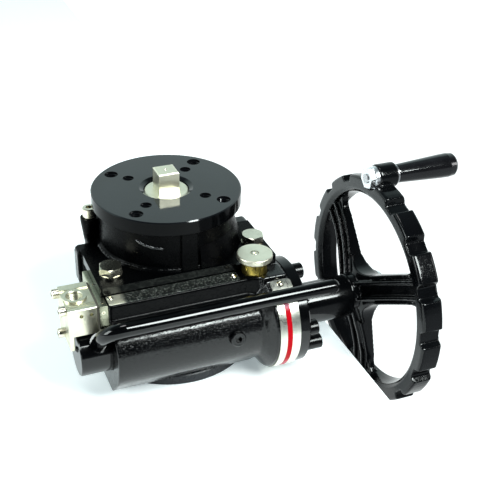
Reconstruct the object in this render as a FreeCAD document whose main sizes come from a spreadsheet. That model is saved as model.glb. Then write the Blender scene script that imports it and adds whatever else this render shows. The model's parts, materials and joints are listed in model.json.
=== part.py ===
import FreeCAD, Part
import math
import os
import re

from FreeCAD import Vector, Rotation, Placement

# Declutchable worm gear operator for a quarter-turn valve.
# Frame: origin at the centre of the valve-side (bottom) flange face, on the stem axis.
# +Z runs up the stem to the actuator flange, +X along the worm shaft to the handwheel.

doc = FreeCAD.newDocument("valve_gear_operator")
sheet = doc.addObject("Spreadsheet::Sheet", "Dims")

DIMS = [
    # overall stack
    ("height_ff", 148.0), ("base_dia", 142.0), ("base_thk", 9.0), ("spigot_dia", 107.8), ("spigot_len", 4.0),
    ("case_dia", 124.0), ("case_top", 94.0), ("chamber_dia", 108.0), ("chamber_top", 84.0),
    ("box_halfx", 71.0), ("box_front", 74.0), ("box_low", 62.0), ("box_back", 2.0),
    # worm barrel and eccentric sleeve
    ("axis_yy", 62.5), ("axis_zz", 49.5), ("ecc", 4.5), ("barrel_dia", 67.0), ("sleeve_dia", 48.9), ("barrel_bore", 49.0),
    ("ring_dia", 89.0), ("ring_left", 58.7), ("ring_right", 76.4), ("cover_thk", 9.7), ("band_thk", 0.8),
    ("tail_dia", 38.0), ("tail_end", 96.0), ("nose_dia", 40.0), ("nose_end", 88.5),
    # gearing
    ("mod", 2.0), ("wheel_teeth", 48.0), ("worm_pcd", 20.0), ("wheel_face", 16.0), ("wheel_tooth_thk", 2.50), ("worm_tooth_thk", 2.35), ("flank_angle", 25.0),
    # top bracket
    ("flange_dia", 122.0), ("flange_thk", 12.0), ("neck_dia", 112.0), ("neck_bore", 94.0), ("plate_halfx", 73.5),
    ("plate_front", 60.0), ("plate_top", 102.0), ("gasket_thk", 0.6), ("top_bore", 37.0), ("top_bore_chamfer", 44.0),
    ("pcd_outer", 102.0), ("hole_outer", 11.0), ("pcd_inner", 70.0), ("hole_inner", 9.0),
    # drive stem
    ("square_af", 17.0), ("square_out", 15.3), ("stem_dia", 36.0), ("journal_dia", 34.0), ("socket_depth", 30.0),
    # bolts
    ("bolt_x", 60.0), ("bolt_y", 42.0), ("bolt2_x", 62.5), ("bolt2_y", 34.5), ("ear_x", 60.1), ("ear_y", 20.0), ("ear_top", 121.0),
    # lever
    ("lever_dia", 12.0), ("lever_rho", 52.0), ("lever_angle", 43.0), ("lever_x0", 80.0), ("lever_x1", 112.4), ("lever_bend", 15.0),
    # handwheel
    ("wheel_dia", 200.0), ("rim_near", 158.8), ("rim_width", 18.0), ("rim_inner", 88.5), ("hub_near", 140.0), ("hub_dia", 31.6),
    ("crank_rad", 104.0), ("crank_angle", 4.0), ("grip_start", 182.0), ("grip_end", 240.0),
    # lock pin
    ("lock_x", 52.3), ("lock_y", 64.0), ("knob_dia", 29.0), ("pin_dia", 6.0), ("platform_top", 95.0),
    # pilot valve
    ("block_left", 101.5), ("block_right", 79.0), ("block_front", 71.0), ("block_back", 35.0), ("block_low", 70.0), ("leg_low", 58.0),
    ("strip_left", 77.5), ("cam_rise", 2.5), ("cam_angle", 100.0), ("plunger_x", 89.0),
]
for i, (name, value) in enumerate(DIMS):
    sheet.set("A%d" % (i + 1), name)
    sheet.set("B%d" % (i + 1), repr(value))
    sheet.setAlias("B%d" % (i + 1), name)
doc.recompute()

NAMES = {n for n, _ in DIMS}


def q(name):
    """A dimension from the sheet, as a number."""
    return float(sheet.get(name))


def ex(text):
    """Turns an expression in dimension names into one that points at the sheet."""
    return re.sub(r"[a-z][a-z0-9_]*", lambda k: "Dims." + k.group(0) if k.group(0) in NAMES else k.group(0), str(text))


def bind(obj, prop, value):
    if isinstance(value, str):
        obj.setExpression(prop, ex(value))
    else:
        setattr(obj, prop, value)


ROT = {
    "z": Rotation(), "-z": Rotation(Vector(1, 0, 0), 180),
    "x": Rotation(Vector(0, 1, 0), 90), "-x": Rotation(Vector(0, 1, 0), -90),
    "y": Rotation(Vector(1, 0, 0), -90), "-y": Rotation(Vector(1, 0, 0), 90),
}
COUNT = [0]


def uid(stem):
    COUNT[0] += 1
    return "%s_%03d" % (stem, COUNT[0])


def place(obj, at, rot=None):
    obj.Placement = Placement(Vector(0, 0, 0), rot or Rotation())
    for axis, v in zip("xyz", at):
        if isinstance(v, str):
            obj.setExpression("Placement.Base." + axis, ex(v))
        else:
            setattr(obj.Placement.Base, axis, v)
    base = Vector(*[0 if isinstance(v, str) else v for v in at])
    obj.Placement = Placement(base, rot or Rotation())
    for axis, v in zip("xyz", at):
        if isinstance(v, str):
            obj.setExpression("Placement.Base." + axis, ex(v))
    return obj


def cyl(r, length, at=(0, 0, 0), ax="z", angle=None, rot=None):
    o = doc.addObject("Part::Cylinder", uid("Cyl"))
    bind(o, "Radius", r)
    bind(o, "Height", length)
    if angle is not None:
        bind(o, "Angle", angle)
    return place(o, at, rot or ROT[ax])


def box(lx, ly, lz, at=(0, 0, 0), rot=None):
    o = doc.addObject("Part::Box", uid("Box"))
    bind(o, "Length", lx)
    bind(o, "Width", ly)
    bind(o, "Height", lz)
    return place(o, at, rot)


def cone(r1, r2, length, at=(0, 0, 0), ax="z"):
    o = doc.addObject("Part::Cone", uid("Cone"))
    bind(o, "Radius1", r1)
    bind(o, "Radius2", r2)
    bind(o, "Height", length)
    return place(o, at, ROT[ax])


def prism(sides, circumradius, length, at=(0, 0, 0), ax="z", turn=0.0):
    o = doc.addObject("Part::Prism", uid("Prism"))
    o.Polygon = sides
    bind(o, "Circumradius", circumradius)
    bind(o, "Height", length)
    return place(o, at, ROT[ax].multiply(Rotation(Vector(0, 0, 1), turn)))


def torus(r1, r2, at=(0, 0, 0), ax="z"):
    o = doc.addObject("Part::Torus", uid("Torus"))
    bind(o, "Radius1", r1)
    bind(o, "Radius2", r2)
    return place(o, at, ROT[ax])


def fuse(*parts, **kw):
    o = doc.addObject("Part::MultiFuse", uid("Fuse"))
    o.Shapes = list(parts)
    o.Refine = kw.get("refine", True)
    return o


def cut(base, *tools):
    tool = tools[0] if len(tools) == 1 else fuse(*tools, refine=False)
    o = doc.addObject("Part::Cut", uid("Cut"))
    o.Base = base
    o.Tool = tool
    o.Refine = True
    return o


def fillet(base, radius, pick, kind="Part::Fillet"):
    """Rounds (or chamfers) those edges of base that pick(edge) accepts."""
    doc.recompute()
    edges = [i + 1 for i, e in enumerate(base.Shape.Edges) if pick(e)]
    o = doc.addObject(kind, uid("Round"))
    o.Base = base
    o.Edges = [(i, radius, radius) for i in edges]
    return o


def chamfer(base, size, pick):
    return fillet(base, size, pick, "Part::Chamfer")


def solid(shape_fn, name=None):
    """A shape worked out in code from the sheet's numbers."""
    o = doc.addObject("Part::Feature", uid("Shape"))
    o.Shape = shape_fn
    return o


def group(*parts):
    o = doc.addObject("Part::Compound", uid("Group"))
    o.Links = list(parts)
    return o


NODES = []


def node(label, obj):
    obj.Label = label
    NODES.append(obj)
    return obj


# ---- sketch-based bodies -------------------------------------------------
def body(label, at=(0, 0, 0), rot=None):
    b = doc.addObject("PartDesign::Body", uid("Body"))
    b.Label = label
    place(b, at, rot)
    return b


def sketch(b, role="XY_Plane", lift=0.0):
    s = b.newObject("Sketcher::SketchObject", uid("Sketch"))
    plane = [f for f in b.Origin.OriginFeatures if f.Role == role][0]
    s.AttachmentSupport = [(plane, "")]
    s.MapMode = "FlatFace"
    if isinstance(lift, str):
        s.setExpression("AttachmentOffset.Base.z", ex(lift))
    elif lift:
        s.AttachmentOffset = Placement(Vector(0, 0, lift), Rotation())
    return s


def bound(s, con, expr):
    """Adds a constraint and ties its value to the sheet."""
    index = s.addConstraint(con)
    if isinstance(expr, str):
        s.setExpression("Constraints[%d]" % index, ex(expr))
    return index


def num(v):
    """The present value of a dimension expression made of + - * / and names."""
    if not isinstance(v, str):
        return float(v)
    probe = sheet_probe
    probe.setExpression("Length", ex("(" + v + ") * 1 mm + 1000 mm"))
    doc.recompute([probe])
    return probe.Length.Value - 1000.0


sheet_probe = doc.addObject("Part::Box", "ExpressionProbe")


def circle(s, r, cx=0.0, cy=0.0):
    import Sketcher
    g = s.addGeometry(Part.Circle(Vector(num(cx), num(cy), 0), Vector(0, 0, 1), num(r)), False)
    bound(s, Sketcher.Constraint("Radius", g, num(r)), r)
    for kind, v, ref in (("DistanceX", cx, -2), ("DistanceY", cy, -1)):
        if num(v) == 0:
            s.addConstraint(Sketcher.Constraint("PointOnObject", g, 3, ref))
        else:
            bound(s, Sketcher.Constraint(kind, -1, 1, g, 3, num(v)), v)
    return g


def profile(s, pts):
    """A closed polygon whose corners are tied to the sheet."""
    import Sketcher
    p = [(num(a), num(b)) for a, b in pts]
    n = len(p)
    ids = [s.addGeometry(Part.LineSegment(Vector(p[i][0], p[i][1], 0), Vector(p[(i + 1) % n][0], p[(i + 1) % n][1], 0)), False) for i in range(n)]
    for i in range(n):
        s.addConstraint(Sketcher.Constraint("Coincident", ids[i], 2, ids[(i + 1) % n], 1))
    for i in range(n):
        for kind, v, w, ref in (("DistanceX", pts[i][0], p[i][0], -2), ("DistanceY", pts[i][1], p[i][1], -1)):
            if w == 0:
                s.addConstraint(Sketcher.Constraint("PointOnObject", ids[i], 1, ref))
            else:
                bound(s, Sketcher.Constraint(kind, -1, 1, ids[i], 1, w), v)
    return ids


def pad(b, s, length, reverse=False, both=False):
    o = b.newObject("PartDesign::Pad", uid("Pad"))
    o.Profile = s
    bind(o, "Length", length)
    o.Reversed = reverse
    o.Midplane = both
    return o


def pocket(b, s, length, reverse=False):
    o = b.newObject("PartDesign::Pocket", uid("Pocket"))
    o.Profile = s
    bind(o, "Length", length)
    o.Reversed = reverse
    return o


def revolve(b, s, axis="V_Axis", angle=360.0):
    o = b.newObject("PartDesign::Revolution", uid("Revolution"))
    o.Profile = s
    o.ReferenceAxis = (s, [axis])
    bind(o, "Angle", angle)
    return o


def polar(b, features, count, angle=360.0):
    o = b.newObject("PartDesign::PolarPattern", uid("Pattern"))
    o.Originals = list(features)
    axis = [f for f in b.Origin.OriginFeatures if f.Role == "Z_Axis"][0]
    o.Axis = (axis, [""])
    o.Angle = angle
    o.Occurrences = count
    b.Tip = o
    return o


def dress(b, kind, size, base, pick):
    """A PartDesign fillet or chamfer on the picked edges of the last feature."""
    doc.recompute()
    names = ["Edge%d" % (i + 1) for i, e in enumerate(base.Shape.Edges) if pick(e)]
    o = b.newObject("PartDesign::" + kind, uid(kind))
    o.Base = (base, names)
    if kind == "Fillet":
        bind(o, "Radius", size)
    else:
        bind(o, "Size", size)
    b.Tip = o
    return o


# ---- fasteners ----------------------------------------------------------
def hex_bolt(at, ax, af, head, shank_r, shank_len, bevel=True):
    """Hexagon head bolt: the head's underside lies at the given point and the shank runs back from it."""
    r = af / math.sqrt(3)
    h = prism(6, r, head, (0, 0, 0), "z", 15)
    if bevel:
        c = cone(af / 2 * 0.98 + head * 1.75, af / 2 * 0.98, head, (0, 0, 0))
        com = doc.addObject("Part::Common", uid("Common"))
        com.Base, com.Tool = h, c
        h = com
    s = cyl(shank_r, shank_len + 0.5, (0, 0, -shank_len))
    o = fuse(h, s)
    o.Placement = Placement(Vector(*at), ROT[ax])
    return o


def cap_screw(at, ax, head_r, head_h, shank_r, shank_len, socket=None):
    """Hexagon socket cap screw, head underside at the point."""
    h = cyl(head_r, head_h)
    h = chamfer(h, min(0.6, head_h * 0.12), lambda e: e.BoundBox.ZMin > head_h - 0.01 and e.Length > head_r)
    socket = socket or head_r * 0.52
    depth = head_h * 0.55
    c = cut(h, prism(6, socket, depth + 1, (0, 0, head_h - depth)))
    o = fuse(c, cyl(shank_r, shank_len + 0.3, (0, 0, -shank_len)))
    o.Placement = Placement(Vector(*at), ROT[ax] if isinstance(ax, str) else ax)
    return o


def button_screw(at, rot, head_r, head_h, shank_r, shank_len):
    """Low round head screw with a hexagon socket."""
    ball_r = (head_r ** 2 + head_h ** 2) / (2 * head_h)
    ball = doc.addObject("Part::Sphere", uid("Sphere"))
    ball.Radius = ball_r
    ball.Placement = Placement(Vector(0, 0, head_h - ball_r), Rotation())
    com = doc.addObject("Part::Common", uid("Common"))
    com.Base, com.Tool = ball, cyl(head_r, head_h)
    c = cut(com, prism(6, head_r * 0.42, head_h, (0, 0, head_h * 0.45)))
    o = fuse(c, cyl(shank_r, shank_len + 0.2, (0, 0, -shank_len)))
    o.Placement = Placement(Vector(*at), rot)
    return o


def washer(r_out, r_in, thk, at, ax="z"):
    return cut(cyl(r_out, thk, at, ax), cyl(r_in, thk + 2, tuple(a - (1 if "xyz".index(ax) == i else 0) for i, a in enumerate(at)), ax))


def near(a, b, tol=0.02):
    return abs(a - b) < tol


YA, ZA = -q("axis_yy"), q("axis_zz")          # sleeve axis
YW = YA + q("ecc")                            # worm axis at rest, nearest the wheel


def around(angle_deg, radius, x=0.0):
    """A point at an angle from +Z towards -Y about the sleeve axis."""
    a = math.radians(angle_deg)
    return Vector(x, YA - radius * math.sin(a), ZA + radius * math.cos(a))


def sector(r0, r1, a0, a1, x0, x1):
    """Part of a ring about the sleeve axis between two angles from +Z towards -Y."""
    # +Z towards -Y is the positive sense of rotation about +X
    r = Part.makeCylinder(r1, x1 - x0, Vector(x0, YA, ZA), Vector(1, 0, 0), a1 - a0)
    if r0 > 0:
        r = r.cut(Part.makeCylinder(r0, x1 - x0 + 2, Vector(x0 - 1, YA, ZA), Vector(1, 0, 0)))
    # find where the cut-out starts, then turn it to a0
    probe = Part.makeCylinder(r1, x1 - x0, Vector(x0, YA, ZA), Vector(1, 0, 0), 1.0)
    c = probe.CenterOfMass
    now = math.degrees(math.atan2(-(c.y - YA), c.z - ZA)) - 0.5
    r.rotate(Vector(0, YA, ZA), Vector(1, 0, 0), a0 - now)
    return r


# =========================================================================
# 1. Bottom cover with the valve-side mounting face (F10)
b = body("base_flange")
s = sketch(b)
circle(s, "base_dia / 2")
p = pad(b, s, "base_thk")
s = sketch(b, lift="base_thk")
circle(s, "spigot_dia / 2")
pad(b, s, "spigot_len")
s = sketch(b)
circle(s, 23.0)
pocket(b, s, 40.0, True)
s = sketch(b)
circle(s, 4.25, "pcd_outer / 2 * cos(45)", "pcd_outer / 2 * cos(45)")
holes = pocket(b, s, 8.0, True)
doc.recompute()
polar(b, [holes], 4)
doc.recompute()
base_raw = b
o = cut(base_raw,
        *[cone(4.65, 4.25, 0.4, (51 * math.cos(math.radians(a)), 51 * math.sin(math.radians(a)), 0)) for a in (45, 135, 225, 315)],
        *[cone(6.4, 3.2, 3.3, (58 * math.cos(math.radians(a)), 58 * math.sin(math.radians(a)), 0)) for a in (0, 90, 180, 270)],
        *[cyl(3.2, 20, (58 * math.cos(math.radians(a)), 58 * math.sin(math.radians(a)), -1)) for a in (0, 90, 180, 270)],
        cut(cyl(60, 2.2, (0, 0, 9.8)), cyl(52, 4, (0, 0, 9)))) 
base_raw.Label = "base_flange_blank"
o = chamfer(o, 0.8, lambda e: near(e.BoundBox.XLength, 142, 0.1) and near(e.BoundBox.ZLength, 0, 0.01))
node("base_flange", o)

node("base_screws", group(*[
    fuse(cone(5.8, 3.0, 2.8, (58 * math.cos(math.radians(a)), 58 * math.sin(math.radians(a)), 0.5)),
         cyl(3.0, 16, (58 * math.cos(math.radians(a)), 58 * math.sin(math.radians(a)), 3.3))) for a in (0, 90, 180, 270)]))
node("base_o_ring", torus(53.0, 1.0, (0, 0, 10.9)))

# 2. Gear case: one casting
cover_deg, stop_deg = (3, 86, 178, 232, 290), 113
band_pts = ((27.0, 67.1), (160.0, 67.5))
tag_pts = ((-67, -64), (33, -67))
bolt_pts = [(-q("bolt_x"), -q("bolt_y")), (q("bolt2_x"), -q("bolt2_y"))]
foot = doc.addObject("Part::Feature", uid("Foot"))
rb = q("barrel_dia") / 2
tang = around(135, rb, -q("box_halfx"))
low = Vector(-q("box_halfx"), tang.y + (tang.z - 9.0), 9.0)
wire = Part.makePolygon([tang, low, Vector(-71, -20, 9), Vector(-71, -20, ZA), Vector(-71, YA, ZA), tang])
foot.Shape = Part.Face(wire).extrude(Vector(120.5, 0, 0))

posts = []
for sx in (-1, 1):
    ear = box(16.5, 11.5, 33.0, (59.5 if sx > 0 else -76.0, 3.0, 67.0))
    ear = fillet(ear, 4.0, lambda e, sx=sx: near(e.BoundBox.YLength, 11.5, 0.01) and abs(e.BoundBox.Center.x) > 70)
    root = box(14.0, 26.0, 34.0, (50.6 if sx > 0 else -64.6, 2.0, 60.0))
    root = fillet(root, 3.0, lambda e: near(e.BoundBox.ZLength, 34, 0.01))
    posts += [ear, root]
front = box("2 * box_halfx", "box_front + box_back", "case_top - box_low", ("-box_halfx", "-box_front", "box_low"))
front = fillet(front, 3.0, lambda e: near(e.BoundBox.ZLength, 32, 0.01) and e.BoundBox.YMax < -70)
front = fillet(front, 1.5, lambda e: e.BoundBox.ZMin > 93.9 and e.BoundBox.YMax < -60 and e.BoundBox.XLength > 50)
platform = box(20.5, 18.6, 17.0, (54.0, -79.0, 78.0))
platform = fillet(platform, 1.0, lambda e: e.BoundBox.ZMin > 94.9)
knob_boss = cyl(12.5, 17.0, ("lock_x", "-lock_y", 78.0))
knob_boss = fillet(knob_boss, 0.8, lambda e: e.BoundBox.ZMin > 94.9)
knob_web = box(12.0, 11.0, 16.0, (44.0, -74.6, 78.0))
gus = doc.addObject("Part::Feature", uid("Gusset"))
wire_f = Part.makePolygon([Vector(48.5, -74.2, 78.0), Vector(54.6, -78.9, 92.4), Vector(58.5, -78.9, 79.6), Vector(48.5, -74.2, 78.0)])
wire_b = Part.makePolygon([Vector(48.5, -71.5, 78.0), Vector(54.6, -71.5, 92.4), Vector(58.5, -71.5, 79.6), Vector(48.5, -71.5, 78.0)])
gus.Shape = Part.makeLoft([wire_f, wire_b], True, True)
outer = fuse(
    cyl("case_dia / 2", "case_top - base_thk", (0, 0, "base_thk")),
    front,
    cyl("barrel_dia / 2", 121.0, ("-box_halfx", "-axis_yy", "axis_zz"), "x"),
    cone("barrel_dia / 2", "ring_dia / 2", 7.5, (49.0, "-axis_yy", "axis_zz"), "x"),
    cyl("ring_dia / 2", "ring_right - 56.5", (56.5, "-axis_yy", "axis_zz"), "x"),
    foot, platform, knob_boss, knob_web, gus, *posts)
case = cut(outer,
           box(40.0, 12.0, 8.0, (30.0, -60.4, "case_top")),
           cyl("chamber_dia / 2", "chamber_top - base_thk + 1", (0, 0, "base_thk - 1")),
           cyl("barrel_bore / 2", "ring_right + 66.4", (-65.4, "-axis_yy", "axis_zz"), "x"),
           cyl(19.05, 10.0, (-72.0, "-axis_yy", "axis_zz"), "x"),
           cyl(21.0, 12.0, (0, 0, 83.0)), cyl(23.5, 4.2, (0, 0, 90.0)),
           # lock pin seat and guide
           cyl(10.37, 17.0, ("lock_x", "-lock_y", 80.0)), cyl(3.05, 20.0, ("lock_x", "-lock_y", 66.0)),
           # fixing holes
           *[cyl(5.0, 24.0, (x, y, 71.0)) for x, y in bolt_pts],
           *[cyl(3.0, 17.0, (58 * math.cos(math.radians(a)), 58 * math.sin(math.radians(a)), 8.0)) for a in (0, 90, 180, 270)],
           *[cyl(4.0, 20.0, (sx * q("ear_x"), q("ear_y"), 76.0)) for sx in (-1, 1)],
           *[cyl(4.0, 10.0, (30 * sx, 46.0, 86.0)) for sx in (-1, 1)],
           *[cyl(4.0, 13.0, around(a, 36.5, 65.2), "x") for a in cover_deg + (stop_deg,)],
           # plug seat in the barrel front, band screw holes, plate screw holes
           *[cyl(1.5, 7.0, (x, y, 88.0)) for x, y in tag_pts],
           *[cyl(2.0, 9.0, (-72.0, y, 85.0), "x") for y in (-24.0, -66.0)])
plug_dir = Rotation(Vector(1, 0, 0), 80.0)
plug_hole = cyl(5.0, 12.0, (0, 0, 0))
plug_hole.Placement = Placement(around(80, 25.5, 26.0), plug_dir)
case = cut(case, plug_hole, *[
    (lambda c, a, x: (setattr(c, "Placement", Placement(around(a, 38.0, x), Rotation(Vector(1, 0, 0), a))), c)[1])(cyl(1.5, 8.0), a, x)
    for a, x in band_pts])
node("gear_case", case)

plug = fuse(cyl(5.0, 9.0, (0, 0, 0)), cyl(6.2, 3.6, (0, 0, 8.0)))
plug = chamfer(plug, 0.7, lambda e: near(e.BoundBox.ZMin, 11.6) and e.Length > 20)
plug = cut(plug, prism(6, 2.9, 4.0, (0, 0, 8.6)))
plug.Placement = Placement(around(80, 25.9, 26.0), plug_dir)
node("housing_plug", plug)

# 3. Bushes and seals of the drive stem
node("upper_bush", cut(cyl(21.0, 6.0, (0, 0, 84.0)), cyl("stem_dia / 2 + 0.05", 10, (0, 0, 82.0))))
node("stem_seal", cut(cyl(23.4, 3.8, (0, 0, 90.1)), cyl("stem_dia / 2 + 0.05", 10, (0, 0, 88.0))))
node("lower_bush", cut(cyl(23.0, 10.5, (0, 0, 2.0)), cyl(20.05, 14, (0, 0, 0))))
node("lower_thrust_washer", washer(29.0, 20.3, 1.0, (0, 0, 13.0)))
node("upper_thrust_washer", washer(26.0, 18.3, 3.2, (0, 0, 80.6)))

# 4. Drive stem, wheel, key, ring
stem = fuse(cyl(20.0, 79.0, (0, 0, 1.0)), cyl(23.0, 21.8, (0, 0, 14.2)), cyl("stem_dia / 2", 66.0, (0, 0, 80.0)),
            box("square_af", "square_af", "square_out + 4", ("-square_af / 2", "-square_af / 2", 144.0)))
stem = cut(stem, box(22.0, 22.0, "socket_depth + 1", (-11.0, -11.0, 0.0)),
           cone(14.0, 8.0, 6.0, (0, 0, 30.9)), box(12.0, 6.0, 22.0, (-6.0, 15.0, 38.0)),
           cut(cyl(21.0, 1.7, (0, 0, 62.2)), cyl(19.0, 3.0, (0, 0, 61.5))),
           cut(cyl(21.0, 2.4, (0, 0, 5.8)), cyl(18.1, 4.0, (0, 0, 5.0))),
           cone(0.01, 1.6, 1.6, (0, 0, "height_ff + square_out - 1.55")))
stem = chamfer(stem, 0.8, lambda e: (near(e.BoundBox.ZMax, 163.3) and near(e.BoundBox.ZMin, 163.3) and e.Length > 14)
               or (near(e.BoundBox.ZMin, 146) and near(e.BoundBox.XLength, 36)) )
node("drive_stem", stem)
node("stem_o_ring", torus(19.05, 0.95, (0, 0, 7.0)))
node("wheel_key", box(12.0, 8.0, 20.0, (-6.0, 15.0, 39.0)))
ring = cut(cyl(22.5, 1.5, (0, 0, 62.3)), cyl(19.2, 3, (0, 0, 61.5)), box(6, 10, 3, (-3, -25, 61.5)))
node("wheel_retaining_ring", ring)

z2 = int(q("wheel_teeth"))
m = q("mod")
r_pitch = m * z2 / 2.0
r_tip, r_root = r_pitch + m, r_pitch - 1.2 * m
half = q("wheel_tooth_thk") / 2.0
flank = math.tan(math.radians(q("flank_angle")))
gamma = math.atan(m / q("worm_pcd"))
face = q("wheel_face")


def wheel_wire(z):
    # each tooth leans by the worm's lead angle; its centre line crosses the worm's shortest distance line
    lean = -(z - ZA) * math.tan(gamma) / r_pitch
    pts = []
    for i in range(z2):
        c = -math.pi / 2 + 2 * math.pi * i / z2 + lean
        for r, sgn in ((r_root, -1), (r_tip, -1), (r_tip, 1), (r_root, 1)):
            hw = half - (r - r_pitch) * flank
            a = c + sgn * hw / r
            pts.append(Vector(r * math.cos(a), r * math.sin(a), z))
    return Part.makePolygon(pts + [pts[0]])


z_lo, z_hi = ZA - face / 2, ZA + face / 2
rim = Part.makeLoft([wheel_wire(z_lo), wheel_wire(z_hi)], True, True)
hub = Part.makeCylinder(30.0, 25.8, Vector(0, 0, 36.2))
rim = rim.cut(Part.makeCylinder(39.5, 4.0, Vector(0, 0, z_lo - 0.5)).cut(Part.makeCylinder(30.0, 6.0, Vector(0, 0, z_lo - 1))))
rim = rim.cut(Part.makeCylinder(39.5, 4.0, Vector(0, 0, z_hi - 3.5)).cut(Part.makeCylinder(30.0, 6.0, Vector(0, 0, z_hi - 4))))
whl = rim.fuse(hub).cut(Part.makeCylinder(20.0, 40, Vector(0, 0, 30)))
whl = whl.cut(Part.makeBox(12.0, 8.0, 40.0, Vector(-6.0, 15.0, 30.0)))
for i in range(6):
    a = math.radians(60 * i + 30)
    whl = whl.cut(Part.makeCylinder(3.6, 40, Vector(34.8 * math.cos(a), 34.8 * math.sin(a), 30)))
node("worm_wheel", solid(whl))

# 5. Worm shaft
lead = math.pi * m
tw = q("worm_tooth_thk") / 2.0
rw = q("worm_pcd") / 2.0
rwo, rwi = rw + m, rw - 1.2 * m


def worm_thread(x0, turns):
    helix = Part.makeHelix(lead, lead * turns, rwi, 0, True)
    prof = []
    for r, sg in ((rwi - 0.4, -1), (rwo, -1), (rwo, 1), (rwi - 0.4, 1)):
        prof.append(Vector(r, 0, sg * (tw - (r - rw) * flank)))
    w = Part.makePolygon(prof + [prof[0]])
    sweep = Part.Wire(helix).makePipeShell([w], True, True)
    return sweep


turns = 7
thread = worm_thread(0, turns)
# the thread runs along local Z; bring it onto the worm axis so that a tooth gap meets the wheel's tooth on the centre line
thread.rotate(Vector(0, 0, 0), Vector(0, 1, 0), 90)     # local Z to +X, local X to -Z
thread.translate(Vector(-lead * turns / 2.0, YW, ZA))
# local X (helix start) now points to -Z; turned to +Y, the side of the wheel, a groove lies at x = 0
thread.rotate(Vector(0, YW, ZA), Vector(1, 0, 0), 90.0)
core = Part.makeCylinder(rwi, 60.0, Vector(-30, YW, ZA), Vector(1, 0, 0))
worm = core.fuse(thread)
for x0, x1, r in ((-38.0, -24.4, rwo), (24.4, 38.0, rwo), (-57.0, -37.5, 9.0), (37.5, 88.4, 9.0), (88.0, 170.0, 8.0)):
    worm = worm.fuse(Part.makeCylinder(r, x1 - x0, Vector(x0, YW, ZA), Vector(1, 0, 0)))
worm = worm.cut(Part.makeBox(25.0, 5.0, 5.0, Vector(141.0, YW - 2.5, ZA + 5.0)))
worm = worm.cut(Part.makeCylinder(3.4, 20.0, Vector(152.0, YW, ZA), Vector(1, 0, 0)))
node("worm_shaft", solid(worm))

# 6. Eccentric sleeve that carries the worm
lr = q("sleeve_dia") / 2.0
sleeve = Part.makeCylinder(lr, q("ring_right") - 0.2 + 65.2, Vector(-65.2, YA, ZA), Vector(1, 0, 0))
tail = Part.makeCylinder(q("tail_dia") / 2, 31.5, Vector(-q("tail_end"), YA, ZA), Vector(1, 0, 0))
te = [e for e in tail.Edges if near(e.BoundBox.XMin, -96) and near(e.BoundBox.XMax, -96)]
tail = tail.makeChamfer(0.8, te)
nose = Part.makeCylinder(q("nose_dia") / 2, q("nose_end") - 75.0, Vector(75.0, YA, ZA), Vector(1, 0, 0))
sleeve = sleeve.fuse([tail, nose])
sleeve = sleeve.cut(Part.makeCylinder(14.0, 160.0, Vector(-58.0, YW, ZA), Vector(1, 0, 0)))
# window for the worm wheel, long enough to stay open through the declutching turn
sleeve = sleeve.cut(sector(8.0, 30.0, 118.0, 302.0, -34.5, 34.5))
# lever socket, cam slot, lock holes, end screw hole
ang = q("lever_angle")
d_lever = Vector(0, -math.sin(math.radians(ang)), math.cos(math.radians(ang)))
sleeve = sleeve.cut(Part.makeCylinder(q("lever_dia") / 2, 30.0, around(ang, 5.0, -q("lever_x0")), d_lever))
cam = []
px = q("plunger_x")
for i in range(0, 41):
    psi = -14.0 + i * (q("cam_angle") + 28.0) / 40.0
    depth = q("cam_rise") * (1.0 - min(max(psi, 0.0), q("cam_angle")) / q("cam_angle"))
    rb_ = q("tail_dia") / 2 - depth - 0.02
    cam.append((psi, rb_))
pts_in = [Vector(-px - 3.2, YA + r * math.sin(math.radians(a)), ZA + r * math.cos(math.radians(a))) for a, r in cam]
pts_out = [Vector(-px - 3.2, YA + 24 * math.sin(math.radians(a)), ZA + 24 * math.cos(math.radians(a))) for a, r in cam]
slot = Part.Face(Part.makePolygon(pts_in + pts_out[::-1] + [pts_in[0]])).extrude(Vector(6.4, 0, 0))
sleeve = sleeve.cut(slot)
for turn in (0.0, -q("cam_angle")):
    hole = Part.makeCylinder(3.3, 20.0, Vector(q("lock_x"), -q("lock_y"), 67.2))
    hole.rotate(Vector(0, YA, ZA), Vector(1, 0, 0), turn)
    sleeve = sleeve.cut(hole)
sleeve = sleeve.cut(Part.makeCylinder(1.6, 9.0, Vector(-97.0, -67.0, 56.0), Vector(1, 0, 0)))
node("eccentric_sleeve", solid(sleeve))
o = button_screw((-q("tail_end"), -67.0, 56.0), ROT["-x"], 2.8, 1.5, 1.5, 7.0)
node("sleeve_end_screw", o)

# worm bearings, thrust washers and shaft seal inside the sleeve
for name, x0, x1 in (("worm_bush_left", -57.6, -41.0), ("worm_bush_right", 41.0, 57.0)):
    node(name, cut(cyl(14.0, x1 - x0, (x0, "-axis_yy + ecc", "axis_zz"), "x"), cyl(9.05, 40, (x0 - 5, "-axis_yy + ecc", "axis_zz"), "x")))
node("worm_thrust_washers", group(*[
    cut(cyl(13.6, 2.3, (x0, "-axis_yy + ecc", "axis_zz"), "x"), cyl(9.3, 5, (x0 - 1, "-axis_yy + ecc", "axis_zz"), "x")) for x0 in (-40.8, 38.4)]))
node("worm_spacer_tube", cut(cyl(13.9, 20.4, (57.2, "-axis_yy + ecc", "axis_zz"), "x"), cyl(11.0, 30, (55, "-axis_yy + ecc", "axis_zz"), "x")))
node("shaft_seal", cut(cyl(14.0, 9.0, (78.0, "-axis_yy + ecc", "axis_zz"), "x"), cyl(9.05, 20, (75, "-axis_yy + ecc", "axis_zz"), "x")))

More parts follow.
